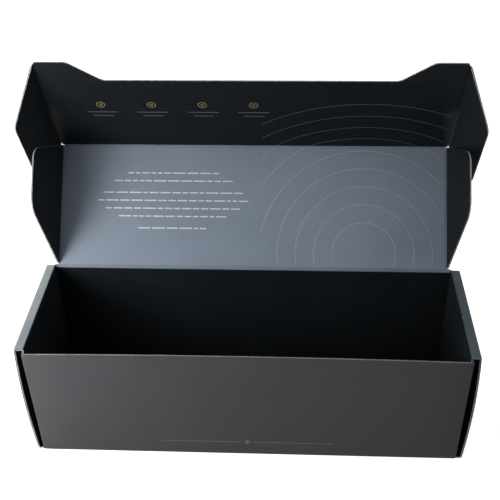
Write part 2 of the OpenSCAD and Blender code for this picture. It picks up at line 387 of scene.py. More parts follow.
def sizes():
    """All settings of the box, with the planes and creases worked out from them and the frame."""
    scene = bpy.context.scene
    board, tray, lid = scene.mailer_board, scene.mailer_tray, scene.mailer_lid
    thick = board.thickness
    plan = SimpleNamespace(board=board, tray=tray, lid=lid, ink=scene.mailer_print, half=thick / 2)

    # Planes of the tray
    plan.side_h = TRAY_TOP.z
    plan.outer_y = TRAY_TOP.y
    plan.outer_x = TRAY_TOP.x - tray.bow
    plan.corner_x = plan.outer_x - thick - tray.roll_gap
    plan.inner_x = plan.corner_x - 2 * thick - tray.ply_gap
    plan.front_h = plan.side_h - tray.front_drop
    plan.flap_h = plan.front_h - tray.flap_drop
    plan.side_half = plan.outer_y - thick - tray.side_inset
    plan.foot_h = thick + tray.ply_gap
    plan.seam_x = plan.inner_x - tray.ply_gap
    plan.wall_x = plan.corner_x - thick

    # Creases of the lid
    plan.hinge = joint_place("lid_hinge")
    plan.along = joint_axis("right_lid_flap_crease")
    plan.front_crease = joint_place("tuck_flap_crease")
    plan.lid_x = joint_place("right_lid_flap_crease").x
    plan.ear_x = joint_place("right_ear_crease").x
    plan.lid_len = (plan.front_crease - plan.hinge).dot(plan.along)
    plan.tuck_along = joint_axis("right_ear_crease")
    plan.tuck_fold = plan.along.angle(plan.tuck_along)
    plan.hinge_fold = plan.along.angle(AXES["z"])
    plan.back_end = plan.hinge.z - tray.hinge_strip

    # Runs of each fold, as length and turn
    bend = (plan.half * math.pi / 2, math.pi / 2)
    roll = (tray.roll_r * math.pi / 2, math.pi / 2)
    spare = plan.half - tray.roll_r
    upright = plan.side_h - 2 * thick
    plan.wall_runs = [(plan.outer_y - thick, 0), bend, (upright, 0)]
    plan.corner_runs = [(plan.wall_x, 0), bend, (tray.flap_reach, 0)]
    plan.end_runs = [
        (plan.outer_x - thick - plan.seam_x, 0),
        bend,
        (upright + spare, 0),
        roll,
        (plan.outer_x - plan.inner_x - 2 * thick + 2 * spare, 0),
        roll,
        (upright - tray.ply_gap + spare, 0),
    ]
    plan.tuck_runs = crease_runs(plan, plan.tuck_fold)
    plan.lid_flap_runs = crease_runs(plan, lid.lid_flap_fold)
    plan.ear_runs = crease_runs(plan, lid.ear_fold)
    tangent = lid.hinge_r * math.tan(plan.hinge_fold / 2)
    plan.hinge_runs = [
        (tray.hinge_strip - tangent, 0),
        (lid.hinge_r * plan.hinge_fold, -plan.hinge_fold),
        (lid.crease_half - tangent, 0),
    ]

    # Places of the panels across the flutes of the blank
    plan.hinge_row = wall_row(plan, plan.back_end)
    plan.lid_row = plan.hinge_row + run_length(plan.hinge_runs) - lid.crease_half
    plan.tuck_crease_row = plan.lid_row + plan.lid_len - lid.crease_half
    plan.tuck_row = plan.tuck_crease_row + run_length(plan.tuck_runs) - lid.crease_half

    # Frames of the lid's panels, with the middle of the board at Z 0
    middle = Matrix.Translation((0, 0, -plan.half))
    inner = AXES["x"].cross(plan.along)
    axes = Matrix((AXES["x"], plan.along, inner)).transposed().to_4x4()
    plan.on_lid = Matrix.Translation(plan.hinge) @ axes
    front = Matrix.Translation((0, plan.lid_len, plan.half)) @ Matrix.Rotation(plan.tuck_fold, 4, "X")
    plan.on_tuck = plan.on_lid @ front @ middle
    plan.on_lid_flap = plan.on_lid @ hinged(plan.lid_x, plan.half, lid.lid_flap_fold) @ middle
    plan.on_ear = plan.on_tuck @ hinged(plan.ear_x, plan.half, lid.ear_fold) @ middle
    return plan


def crease_runs(plan, turn):
    """Runs of a strip that folds about its inner face."""
    return [(plan.lid.crease_half, 0), (plan.half * turn, turn), (plan.lid.crease_half, 0)]


def run_length(runs):
    """Length of a fold along the middle of its board."""
    return sum(step for step, turn in runs)


def wall_row(plan, height):
    """Place on the blank of a height on the front or back wall."""
    return plan.wall_runs[0][0] + plan.wall_runs[1][0] + height - plan.board.thickness


def hinged(x, inner, turn):
    """Frame of a flap that is folded about a crease at X on the inner face."""
    return Matrix.Translation((x, 0, inner)) @ Matrix.Rotation(-turn, 4, "Y")


# Folding


def follow(runs, distance, offset):
    """Place in a fold's section: distance along the board's middle, offset to its inner side."""
    place = Vector((0.0, 0.0))
    heading = 0.0
    for index, (step, turn) in enumerate(runs):
        last = index == len(runs) - 1
        done = distance if last else min(distance, step)
        if turn:
            radius = step / turn
            ahead = heading + done / radius
            place.x += radius * (math.sin(ahead) - math.sin(heading))
            place.y += radius * (math.cos(heading) - math.cos(ahead))
            heading = ahead
        else:
            place.x += done * math.cos(heading)
            place.y += done * math.sin(heading)
        distance -= done
        if distance <= 0:
            break
    return place.x - offset * math.sin(heading), place.y + offset * math.cos(heading)


def bends(runs):
    """Start and end of each bend along a fold."""
    found = []
    start = 0.0
    for step, turn in runs:
        if turn:
            found.append((start, start + step))
        start += step
    return found


def eased(amount):
    """An amount up to 1 that starts softly from 0 and ends softly."""
    amount = max(0.0, amount)
    return amount * amount * (3 - 2 * amount)


def pinch(runs, distance, margin):
    """How far the board is crushed at a distance along a fold, 1 in a bend and 0 away from it."""
    nearest = min(max(start - distance, distance - end, 0.0) for start, end in bends(runs))
    return eased(1 - nearest / margin)


def bend_cuts(runs, board):
    """Distances along a fold at which the board is cut into faces so that it can bend."""
    cuts = []
    for start, end in bends(runs):
        cuts += [start - board.margin, start - board.margin / 2]
        cuts += [start + (end - start) * i / board.bend_steps for i in range(board.bend_steps + 1)]
        cuts += [end + board.margin / 2, end + board.margin]
    return cuts


def flute_cuts(low, high, row, board, taken=()):
    """Lines across a blank from low to high that carry the flutes, clear of the lines taken."""
    step = board.pitch / board.flute_steps
    clear = step / 3
    lines = [i * step - row for i in range(math.ceil((low + row) / step), int((high + row) / step) + 1)]
    return [y for y in lines if all(abs(y - other) > clear for other in taken)]


# Blanks


def everything(bm):
    """All elements of a mesh."""
    return bm.verts[:] + bm.edges[:] + bm.faces[:]


def only(kind, elements):
    """The elements that are vertices, edges or faces."""
    return [element for element in elements if isinstance(element, kind)]


def span(bm, axis):
    """Lowest and highest place of a mesh along an axis."""
    places = [vert.co.dot(AXES[axis]) for vert in bm.verts]
    return min(places), max(places)


def blank(points, board):
    """One flat face from the corners of its outline, as X, Y and a radius for a round corner."""
    bm = bmesh.new()
    bm.loops.layers.uv.new("blank")
    bm.verts.layers.float.new("wear")
    # This layer pales the print beside the ears' folds: partly flex wear, partly a painted sheen where the
    # board curves
    bm.verts.layers.float.new("rub")
    corners = [bm.verts.new((point[0], point[1], 0)) for point in points]
    bm.faces.new(corners)
    for corner, point in zip(corners, points):
        if len(point) > 2:
            round_corner(bm, corner, point[2], board)
    return bm


def both_sides(right):
    """A whole outline from its right half."""
    return right + [(-point[0], *point[1:]) for point in reversed(right)]


def round_corner(bm, corner, radius, board):
    """Rounds one corner of a flat outline."""
    first, second = [edge.other_vert(corner).co - corner.co for edge in corner.link_edges]
    bmesh.ops.bevel(
        bm,
        geom=[corner],
        offset=radius / math.tan(first.angle(second) / 2),
        offset_type="OFFSET",
        segments=board.corner_steps,
        profile=ROUND_PROFILE,
        affect="VERTICES",
        material=-1,
    )


def trim(bm, axis, line, keep):
    """Cuts a flat blank off along a line of X or Y and keeps the side above or below it."""
    normal = AXES[axis] if keep == "above" else -AXES[axis]
    bmesh.ops.bisect_plane(
        bm, geom=everything(bm), plane_co=AXES[axis] * line, plane_no=normal, clear_inner=True
    )


def score(bm, axis, lines):
    """Cuts a flat blank into faces along lines of X or Y."""
    for line in lines:
        bmesh.ops.bisect_plane(
            bm, geom=everything(bm), plane_co=AXES[axis] * line, plane_no=AXES[axis], dist=CUT_REACH
        )


def mark_rim(bm, board, seams=()):
    """Gives a flat blank a narrow rim along its cut edges, where the print wears.
    Seams are lines, as axis and place, where the sheet goes on in another piece."""
    wear = bm.verts.layers.float["wear"]
    bmesh.ops.inset_region(
        bm, faces=bm.faces[:], thickness=board.rim, use_boundary=True, use_even_offset=True
    )
    for vert in bm.verts:
        on_seam = any(abs(vert.co.dot(AXES[axis]) - line) < TOUCH for axis, line in seams)
        vert[wear] = 1.0 if vert.is_boundary and not on_seam else 0.0


def add_layers(bm, board, row, column=0.0):
    """Turns a flat blank into two liners with the fluted medium between them.
    Row and column are its place on the whole blank, across and along the flutes."""
    flat = everything(bm)
    wear = bm.verts.layers.float["wear"]
    half = board.thickness / 2
    swing = half - board.liner - board.medium / 2 + board.washboard
    layers = (
        (-half, board.liner, board.washboard, OUTSIDE, FLUTE, PAPER),
        (-board.medium / 2, board.medium, swing, FLUTE, FLUTE, FLUTE),
        (half - board.liner, board.liner, board.washboard, FLUTE, INSIDE, PAPER),
    )
    for low, thick, wave, paint_below, paint_above, paint_edge in layers:
        copied = bmesh.ops.duplicate(bm, geom=flat)["geom"]
        below = only(bmesh.types.BMFace, copied)
        grown = bmesh.ops.extrude_face_region(bm, geom=below)["geom"]
        above = only(bmesh.types.BMFace, grown)
        upper = only(bmesh.types.BMVert, grown)
        lower = only(bmesh.types.BMVert, copied)
        bmesh.ops.translate(bm, verts=upper, vec=(0, 0, low + thick))
        bmesh.ops.translate(bm, verts=lower, vec=(0, 0, low))
        caps = set(below + above)
        edges = {face for vert in upper for face in vert.link_faces} - caps
        shell = list(caps | edges)
        bmesh.ops.recalc_face_normals(bm, faces=shell)
        paint_layer(((below, paint_below), (above, paint_above), (edges, paint_edge)), edges)
        for vert in upper + lower:
            vert.co.z += wave * math.cos(math.tau * (vert.co.y + row) / board.pitch)
            vert.co.z *= 1 - board.edge_crush * vert[wear]
    bmesh.ops.delete(bm, geom=only(bmesh.types.BMVert, flat), context="VERTS")
    uv = bm.loops.layers.uv["blank"]
    for face in bm.faces:
        for loop in face.loops:
            loop[uv].uv = (loop.vert.co.x + column, loop.vert.co.y + row)


def paint_layer(painted, edges):
    """Gives one layer its materials, smooth faces and sharp cut edges."""
    for faces, paint in painted:
        for face in faces:
            face.material_index = paint
            face.smooth = True
    for face in edges:
        for edge in face.edges:
            if edge.calc_face_angle(0) > SHARP_ANGLE:
                edge.smooth = False


def repaint(bm, old, new, test):
    """Changes the material of the faces whose middle passes a test, while the blank is flat."""
    for face in bm.faces:
        if face.material_index == old and test(face.calc_center_median()):
            face.material_index = new


def fold(bm, place, nearness):
    """Moves each point of a flat board to its place, and wears it where it is near a crease."""
    wear = bm.verts.layers.float["wear"]
    for vert in bm.verts:
        vert[wear] = max(vert[wear], nearness(vert.co))
        vert.co = place(*vert.co)


def make_piece(bm, name, materials):
    """Turns a finished mesh into an object with its materials."""
    mesh = bpy.data.meshes.new(name)
    bm.to_mesh(mesh)
    bm.free()
    for material in materials:
        mesh.materials.append(material)
    piece = bpy.data.objects.new(name, mesh)
    bpy.context.scene.collection.objects.link(piece)
    return piece


def mirrored(bm):
    """The other end's copy of a mesh."""
    other = bm.copy()
    bmesh.ops.transform(other, matrix=MIRROR_X, verts=other.verts)
    bmesh.ops.reverse_faces(other, faces=other.faces)
    return other


def both_ends(bm, name, materials):
    """A right piece and its mirrored left one, as side name and object."""
    left = make_piece(mirrored(bm), "left_" + name, materials)
    right = make_piece(bm, "right_" + name, materials)
    return (("left", left), ("right", right))


def mark(piece, name, start, end, reaches, strength):
    """Raises a piece's wear, or its paler band of flex wear and painted sheen, around a line, with a reach at
    its start and one at its end.
    """
    way = end - start
    values = piece.data.attributes[name].data
    for vert, value in zip(piece.data.vertices, values):
        along = min(max((vert.co - start).dot(way) / max(way.length_squared, LEAST_SQUARE), 0), 1)
        reach = reaches[0] + (reaches[1] - reaches[0]) * along
        away = (vert.co - start - way * along).length
        value.value = max(value.value, strength * eased(1 - away / reach))


# Materials


def add_node(tree, kind, inputs=(), **settings):
    """A shader node with its settings and the values or links of its inputs."""
    node = tree.nodes.new(kind)
    for name, value in settings.items():
        setattr(node, name, value)
    for socket, value in inputs:
        if isinstance(value, bpy.types.NodeSocket):
            tree.links.new(value, node.inputs[socket])
        else:
            node.inputs[socket].default_value = value
    return node


def opaque(rgb):
    """A colour with full alpha."""
    return (*rgb, 1.0)


def tinted(rgb, tint):
    """A colour made lighter or darker by one of the tints."""
    scale, lift = TINTS[tint]
    return opaque([value * scale + lift for value in rgb])


def noise(tree, place, name):
    """One of the noises, over the places given."""
    look = NOISES[name]
    mapped = add_node(tree, "ShaderNodeMapping", [("Vector", place), ("Scale", look.stretch)])
    inputs = [("Vector", mapped.outputs[0]), ("Scale", look.scale), ("Detail", look.detail)]
    return add_node(tree, "ShaderNodeTexNoise", inputs).outputs["Fac"]


def shown(tree, value, name):
    """How strongly one of the noises shows at a value of it."""
    look = NOISES[name]
    return remap(tree, value, look.low, look.high, 0, look.strength)


def remap(tree, value, low, high, to_low, to_high):
    """A value moved from one range to another, and kept inside it."""
    node = add_node(
        tree,
        "ShaderNodeMapRange",
        [(0, value), (1, low), (2, high), (3, to_low), (4, to_high)],
        interpolation_type="SMOOTHSTEP",
    )
    return node.outputs[0]


def mix_colour(tree, factor, first, second):
    """One colour laid over another."""
    node = add_node(tree, "ShaderNodeMix", [(0, factor), (6, first), (7, second)], data_type="RGBA")
    return node.outputs[2]


def calculate(tree, operation, first, second):
    """One step of arithmetic on two values."""
    node = add_node(tree, "ShaderNodeMath", [(0, first), (1, second)], operation=operation)
    return node.outputs[0]


def new_material(name):
    """An empty node material with its tree and shader."""
    material = bpy.data.materials.new(name)
    material.use_nodes = True
    tree = material.node_tree
    return material, tree, tree.nodes["Principled BSDF"]


def raise_fibres(tree, shader, fibres, strength, height):
    """Bumps a surface by its fibres."""
    inputs = [("Strength", strength), ("Distance", height), ("Height", fibres)]
    bump = add_node(tree, "ShaderNodeBump", inputs)
    tree.links.new(bump.outputs[0], shader.inputs["Normal"])


def printed_board(name, rgb, paper, rough, shine):
    """Matt print on paper: cloudy and fibrous, scuffed, paler beside the ears' folds where flex wear and a
    painted sheen lie, and worn to the paper at edges and folds.
    """
    material, tree, shader = new_material(name)
    place = add_node(tree, "ShaderNodeTexCoord").outputs["UV"]
    clouds, fibres, streaks, chips = [
        noise(tree, place, kind) for kind in ("clouds", "fibres", "streaks", "chips")
    ]
    wear = add_node(tree, "ShaderNodeAttribute", attribute_name="wear").outputs["Fac"]
    rub = add_node(tree, "ShaderNodeAttribute", attribute_name="rub").outputs["Fac"]

    light, dark = tinted(rgb, "light_cloud"), tinted(rgb, "dark_cloud")
    cloudy = mix_colour(tree, shown(tree, clouds, "clouds"), dark, light)
    fibred = mix_colour(tree, shown(tree, fibres, "fibres"), cloudy, light)
    scuffed = mix_colour(tree, shown(tree, streaks, "streaks"), fibred, tinted(rgb, "scuffed"))
    # Paler print beside the ears' folds: partly flex wear, partly a painted sheen where the board curves
    rubbed_and_sheen = mix_colour(tree, rub, scuffed, tinted(rgb, "rubbed_and_sheen"))
    worn = calculate(tree, "ADD", chips, calculate(tree, "MULTIPLY", wear, WEAR_REACH))
    bare = mix_colour(tree, shown(tree, worn, "chips"), rubbed_and_sheen, opaque(paper))
    gloss = remap(tree, clouds, *GLOSS_RANGE, rough - GLOSS_SWING, rough + GLOSS_SWING)
    tree.links.new(bare, shader.inputs["Base Color"])
    tree.links.new(gloss, shader.inputs["Roughness"])
    shader.inputs["Specular IOR Level"].default_value = shine
    raise_fibres(tree, shader, fibres, *PRINT_BUMP)
    return material


def bare_paper(name, rgb):
    """Raw paper of the cut edges and the flutes, with short fibres."""
    material, tree, shader = new_material(name)
    place = add_node(tree, "ShaderNodeTexCoord").outputs["Object"]
    fibres, dust = noise(tree, place, "cut_fibres"), noise(tree, place, "dust")
    dark = tinted(rgb, "dark_paper")
    fibred = mix_colour(tree, shown(tree, fibres, "cut_fibres"), dark, opaque(rgb))
    dusty = mix_colour(tree, shown(tree, dust, "dust"), fibred, dark)
    tree.links.new(dusty, shader.inputs["Base Color"])
    shader.inputs["Roughness"].default_value = PAPER_ROUGHNESS
    shader.inputs["Specular IOR Level"].default_value = PAPER_SHINE
    raise_fibres(tree, shader, fibres, *PAPER_BUMP)
    return material


def printed_ink(name, rgb):
    """Ink that lies a little unevenly on the print below it."""
    material, tree, shader = new_material(name)
    place = add_node(tree, "ShaderNodeTexCoord").outputs["Object"]
    grain = shown(tree, noise(tree, place, "ink_grain"), "ink_grain")
    uneven = mix_colour(tree, grain, tinted(rgb, "thin_ink"), opaque(rgb))
    tree.links.new(uneven, shader.inputs["Base Color"])
    shader.inputs["Roughness"].default_value = INK_ROUGHNESS
    return material


def finish(name):
    """One of the box's materials, made when it is first asked for."""
    label = name + "_finish"
    if label in bpy.data.materials:
        return bpy.data.materials[label]
    colours = bpy.context.scene.mailer_colours
    rgb = list(getattr(colours, name))
    if name in ("paper", "flute"):
        return bare_paper(label, rgb)
    if name.endswith("_ink"):
        return printed_ink(label, rgb)
    return printed_board(label, rgb, list(colours.paper), *SHEEN[name])


def finishes(outside, inside, *more):
    """Materials of a board, in the order of its places for them."""
    return [finish(name) for name in (outside, inside, "paper", "flute", *more)]


# Tray


def splayed(plan, x, y, z):
    """A place on the tray, moved outwards where the tray stands wider, at the top of its front."""
    forward = (1 - y / plan.outer_y) / 2
    return x * (1 + plan.tray.splay / plan.outer_x * forward * z / plan.side_h), y, z


def build_tray_walls(plan):
    """Base, front wall and back wall, with the corner flaps that go on from the walls' ends."""
    board, tray = plan.board, plan.tray
    flap_end = run_length(plan.corner_runs[:2]) + tray.flap_reach - board.thickness
    flap_low, flap_high = wall_row(plan, plan.foot_h), wall_row(plan, plan.flap_h)
    front = wall_row(plan, plan.front_h)
    right = [
        (plan.wall_x, -front),
        (plan.wall_x, -flap_high),
        (flap_end, -flap_high),
        (flap_end, -flap_low),
        (plan.wall_x, -flap_low),
        (plan.wall_x, -plan.side_half),
        (plan.seam_x, -plan.side_half),
        (plan.seam_x, plan.side_half),
        (plan.wall_x, plan.side_half),
        (plan.wall_x, flap_low),
        (flap_end, flap_low),
        (flap_end, flap_high),
        (plan.wall_x, flap_high),
        (plan.wall_x, plan.hinge_row),
    ]
    bm = blank(both_sides(right), board)
    mark_rim(bm, board, [("x", plan.seam_x), ("x", -plan.seam_x), ("y", plan.hinge_row)])
    across = bend_cuts(plan.corner_runs, board)
    across += [plan.wall_x * i / tray.sag_steps for i in range(tray.sag_steps)]
    rows = bend_cuts(plan.wall_runs, board)
    rows += [-row for row in rows]
    score(bm, "x", across + [-x for x in across])
    score(bm, "y", rows + flute_cuts(-front, plan.hinge_row, 0, board, rows))
    add_layers(bm, board, 0)

    def crushed(x, y):
        in_corner = pinch(plan.corner_runs, abs(x), board.margin)
        return max(in_corner, pinch(plan.wall_runs, abs(y), board.margin))

    def nearness(point):
        return board.fold_wear * crushed(point.x, point.y)

    def place(x, y, offset):
        offset *= 1 - board.crush * crushed(x, y)
        across, inward = follow(plan.corner_runs, abs(x), offset)
        out, up = follow(plan.wall_runs, abs(y), inward)
        if y < 0:
            out -= tray.front_sag * (up / plan.front_h) ** 2 * max(0, 1 - (x / plan.wall_x) ** 2)
        return splayed(plan, math.copysign(across, x), math.copysign(out, y), up + plan.half)

    fold(bm, place, nearness)
    return make_piece(bm, "tray_walls", finishes("outside_grey", "inside_black"))


def side_outline(plan, length_along):
    """Outline of a side wall: slots for its tabs at the base seam and the two tabs at its far end."""
    tray = plan.tray
    slot = plan.board.thickness + 2 * tray.ply_gap
    tip = length_along + plan.board.thickness
    near, far = [(0, plan.side_half)], [(length_along, -plan.side_half)]
    for middle in (-tray.tab_pitch / 2, tray.tab_pitch / 2):
        low, high = middle - tray.tab_w / 2, middle + tray.tab_w / 2
        far += [(length_along, low), (tip, low), (tip, high), (length_along, high)]
        low, high = low - tray.ply_gap, high + tray.ply_gap
        near += [(0, -low), (slot, -low), (slot, -high), (0, -high)]
    return far + [(length_along, plan.side_half)] + near + [(0, -plan.side_half)]


def build_side_walls(plan):
    """Double side walls: each rolls up, over and down again, and locks in the base."""
    board, tray = plan.board, plan.tray
    runs = plan.end_runs
    total = run_length(runs)
    outer_start, outer_end = run_length(runs[:2]), run_length(runs[:3])
    roll_end = run_length(runs[:5])
    bm = blank(side_outline(plan, total), board)
    mark_rim(bm, board, [("x", 0)])
    bow_step = (outer_end - outer_start) / tray.bow_steps
    across = bend_cuts(runs, board)
    across += [outer_start + bow_step * i for i in range(1, tray.bow_steps)]
    score(bm, "x", across)
    score(bm, "y", flute_cuts(-plan.side_half, plan.side_half, 0, board))
    add_layers(bm, board, 0, plan.seam_x)
    top = outer_end + runs[3][0] / 2
    inner_top = roll_end + runs[5][0] / 2
    repaint(bm, OUTSIDE, BEYOND, lambda middle: top < middle.x < inner_top)
    repaint(bm, OUTSIDE, LINING, lambda middle: middle.x > inner_top)

    def nearness(point):
        return board.fold_wear * pinch(runs, point.x, board.margin)

    def place(x, y, offset):
        if offset > 0:
            offset *= 1 - tray.roll_crush * pinch(runs, x, board.margin)
        across, up = follow(runs, x, offset)
        rise = min(max((x - outer_start) / (outer_end - outer_start), 0), 1)
        across += 4 * tray.bow * rise * (1 - rise)
        return splayed(plan, plan.seam_x + across, y, up + plan.half)

    fold(bm, place, nearness)
    names = ("outside_grey", "inside_black", "rolled_slate", "inside_black")
    return both_ends(bm, "side_wall", finishes(*names))


# Lid


def build_lid(plan):
    """Top panel of the lid."""
    lid, board = plan.lid, plan.board
    half_w = plan.lid_x - lid.crease_half
    low, high = lid.crease_half, plan.lid_len - lid.crease_half
    bm = blank([(-half_w, low), (half_w, low), (half_w, high), (-half_w, high)], board)
    score(bm, "y", flute_cuts(low, high, plan.lid_row, board))
    add_layers(bm, board, plan.lid_row)
    bmesh.ops.transform(bm, matrix=plan.on_lid, verts=bm.verts)
    return make_piece(bm, "lid_board", finishes("outside_grey", "inside_slate"))


def build_flaps(plan, name, outline, row, crease_x, frame_at):
    """Flaps at both ends of a panel, with flutes square to the crease, cut off at its strip."""
    board, reach = plan.board, plan.lid.crease_half
    bm = blank(outline, board)
    trim(bm, "x", reach, "above")
    mark_rim(bm, board, [("x", reach)])
    score(bm, "y", flute_cuts(*span(bm, "y"), row, board))
    add_layers(bm, board, row, crease_x)
    bmesh.ops.transform(bm, matrix=frame_at, verts=bm.verts)
    return both_ends(bm, name, finishes("outside_grey", "inside_black"))


def lid_flap_outline(plan):
    """Outline of the right lid flap, from its crease."""
    lid = plan.lid
    far = plan.lid_len - lid.lid_flap_front
    return [
        (lid.crease_gap, lid.slit),
        (lid.lid_flap_w, lid.lid_flap_rear, lid.lid_flap_rear_r),
        (lid.lid_flap_w, far, lid.lid_flap_front_r),
        (lid.crease_gap, plan.lid_len - lid.slit),
    ]


def ear_outline(plan):
    """Outline of the right ear, from its crease."""
    lid = plan.lid
    top = lid.tuck_depth - lid.ear_top_drop
    return [
        (lid.crease_gap, lid.slit),
        (lid.ear_w, lid.ear_foot, lid.ear_foot_r),
        (lid.ear_w, top - lid.ear_top_run, lid.ear_r),
        (lid.crease_gap, top),
    ]


def build_tuck_flap(plan):
    """Front flap of the lid with a lobe at each end."""
    lid, board = plan.lid, plan.board
    end = plan.ear_x - lid.crease_gap
    slope = end - lid.lobe_w
    right = [
        (end, 0),
        (end, lid.tuck_depth, lid.ear_top_drop),
        (slope, lid.tuck_depth, lid.lobe_r),
        (slope - lid.lobe_slope, lid.tuck_mid, lid.lobe_r),
    ]
    bm = blank(both_sides(right), board)
    seam = plan.ear_x - lid.crease_half
    trim(bm, "y", lid.crease_half, "above")
    trim(bm, "x", seam, "below")
    trim(bm, "x", -seam, "above")
    mark_rim(bm, board, [("y", lid.crease_half), ("x", seam), ("x", -seam)])
    # Cuts over which the paler band beside the ears' folds, partly flex wear and partly painted sheen, fades
    columns = [seam - board.sheen_and_rub_reach * share_of_reach for share_of_reach in RUB_AND_SHEEN_STEPS]
    score(bm, "x", columns + [-x for x in columns])
    score(bm, "y", flute_cuts(lid.crease_half, lid.tuck_depth, plan.tuck_row, board))
    add_layers(bm, board, plan.tuck_row)
    bmesh.ops.transform(bm, matrix=plan.on_tuck, verts=bm.verts)
    return make_piece(bm, "tuck_board", finishes("outside_grey", "inside_black"))


# Creases


def folded_strip(plan, points, runs, along, row, column, place, groove=0.0):
    """A crease: a strip of board that bends along X or Y of the blank, crushed where it bends.
    A groove of the given depth runs along the middle of its bend, on the inner face."""
    board, lid = plan.board, plan.lid
    middle = sum(bends(runs)[0]) / 2
    bm = blank(points, board)
    cuts = bend_cuts(runs, board)
    score(bm, along, cuts)
    low, high = span(bm, "y")
    score(bm, "y", flute_cuts(low, high, row, board, cuts if along == "y" else ()))
    add_layers(bm, board, row, column)

    def nearness(point):
        return board.fold_wear * pinch(runs, point.dot(AXES[along]), board.margin)

    def folded(x, y, offset):
        distance, across = (x, y) if along == "x" else (y, x)
        offset *= 1 - board.crush * pinch(runs, distance, board.margin)
        if offset > 0:
            offset -= groove * max(0.0, 1 - abs(distance - middle) / lid.score_half)
        return place(across, *follow(runs, distance, offset))

    return bm, folded, nearness


def build_hinge_crease(plan):
    """Crease between the back wall and the lid, which bends backwards while the lid stands open."""
    runs = plan.hinge_runs
    total = run_length(runs)
    fold_line = runs[0][0] + runs[1][0] / 2
    right = [(plan.wall_x, 0), (plan.wall_x, fold_line), (plan.lid_x - plan.lid.crease_gap, total)]
    points = both_sides(right)

    def place(across, up, inward):
        return across, plan.hinge.y - inward, plan.back_end + up

    groove = plan.lid.score_depth
    bm, folded, nearness = folded_strip(plan, points, runs, "y", plan.hinge_row, 0, place, groove)
    fold(bm, folded, nearness)
    piece = make_piece(bm, "hinge_crease", finishes("outside_grey", "inside_slate"))
    reach = plan.board.margin
    start = plan.hinge - AXES["z"] * reach
    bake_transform(piece, "tray", "lid", start=start, end=plan.hinge + plan.along * reach)
    return piece


def build_tuck_crease(plan):
    """Crease between the lid and the tuck flap, where the slate print ends."""
    runs = plan.tuck_runs
    half = plan.lid.crease_half
    lid_end = plan.lid_x - plan.lid.crease_gap
    tuck_end = plan.ear_x - plan.lid.crease_gap
    total = run_length(runs)
    step = plan.lid.crease_gap
    right = [(lid_end, 0), (lid_end, half - step), (tuck_end, half + step), (tuck_end, total)]
    points = both_sides(right)

    def place(across, ahead, inward):
        return plan.on_lid @ Vector((across, plan.lid_len - half + ahead, inward))

    bm, folded, nearness = folded_strip(plan, points, runs, "y", plan.tuck_crease_row, 0, place)
    repaint(bm, INSIDE, BEYOND, lambda middle: middle.y > total / 2)
    fold(bm, folded, nearness)
    names = ("outside_grey", "inside_slate", "inside_black")
    piece = make_piece(bm, "tuck_crease", finishes(*names))
    ahead = plan.tuck_along * plan.board.margin
    behind = plan.along * plan.board.margin
    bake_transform(piece, "lid", "tuck_flap", start=plan.front_crease - behind, end=plan.front_crease + ahead)
    return piece


def past_crease(plan, outline):
    """Where a flap's two edges are at the end of its crease strip."""
    reach = plan.lid.crease_half - plan.lid.crease_gap
    first, second, third, last = [Vector(point[:2]) for point in outline]
    low = first.y + reach * (second.y - first.y) / (second.x - first.x)
    high = last.y + reach * (third.y - last.y) / (third.x - last.x)
    return low, high


def lid_flap_crease_outline(plan):
    """Outline of the strip between the lid and its right flap, from the lid outwards."""
    half = plan.lid.crease_half
    total = run_length(plan.lid_flap_runs)
    low, high = past_crease(plan, lid_flap_outline(plan))
    corner = plan.lid_len - 2 * plan.lid.crease_gap
    return [
        (0, half),
        (total - half, half),
        (total, low),
        (total, high),
        (total - half, corner),
        (half + plan.half / 2, corner),
        (half, plan.lid_len - half),
        (0, plan.lid_len - half),
    ]


def ear_crease_outline(plan):
    """Outline of the strip between the tuck flap and its right ear, with the end of the lobe's corner."""
    lid = plan.lid
    half = lid.crease_half
    total = run_length(plan.ear_runs)
    low, high = past_crease(plan, ear_outline(plan))
    corner = 2 * lid.crease_gap
    radius = lid.ear_top_drop
    top = lid.tuck_depth - radius
    inset = radius - half + lid.crease_gap
    start = math.acos(inset / radius)
    turns = [start * i / LOBE_STEPS for i in range(LOBE_STEPS + 1)]
    lobe = [(radius * math.cos(turn) - inset, top + radius * math.sin(turn)) for turn in turns]
    return [
        (0, half),
        (half, half),
        (half + plan.half / 2, corner),
        (total - half, corner),
        (total, low),
        (total, high),
        (total - half, top),
        *lobe,
    ]


def build_end_creases(plan, name, runs, outline, row, crease_x, on_panel, names):
    """Creases between a panel and the flaps at its two ends."""
    half = plan.lid.crease_half
    total = run_length(runs)

    def place(across, ahead, inward):
        return on_panel @ Vector((crease_x - half + ahead, across, inward))

    bm, folded, nearness = folded_strip(plan, outline, runs, "x", row, crease_x - half, place)
    repaint(bm, INSIDE, BEYOND, lambda middle: middle.x > total / 2)
    fold(bm, folded, nearness)
    return both_ends(bm, name, finishes(*names))


def blend_end_creases(plan, pieces, parent, child, outward):
    """Bends each end crease between its panel and its flap, which goes outward from the right crease."""
    for side, piece in pieces:
        place = joint_place(f"{side}_{child}_crease")
        flip = Matrix.Diagonal((SIDES[side], 1, 1))
        start = place - flip @ AXES["x"] * plan.board.margin
        end = place + flip @ outward * plan.board.margin
        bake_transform(piece, parent, f"{side}_{child}", start=start, end=end)


# Wear, and painted sheen beside the ears' folds


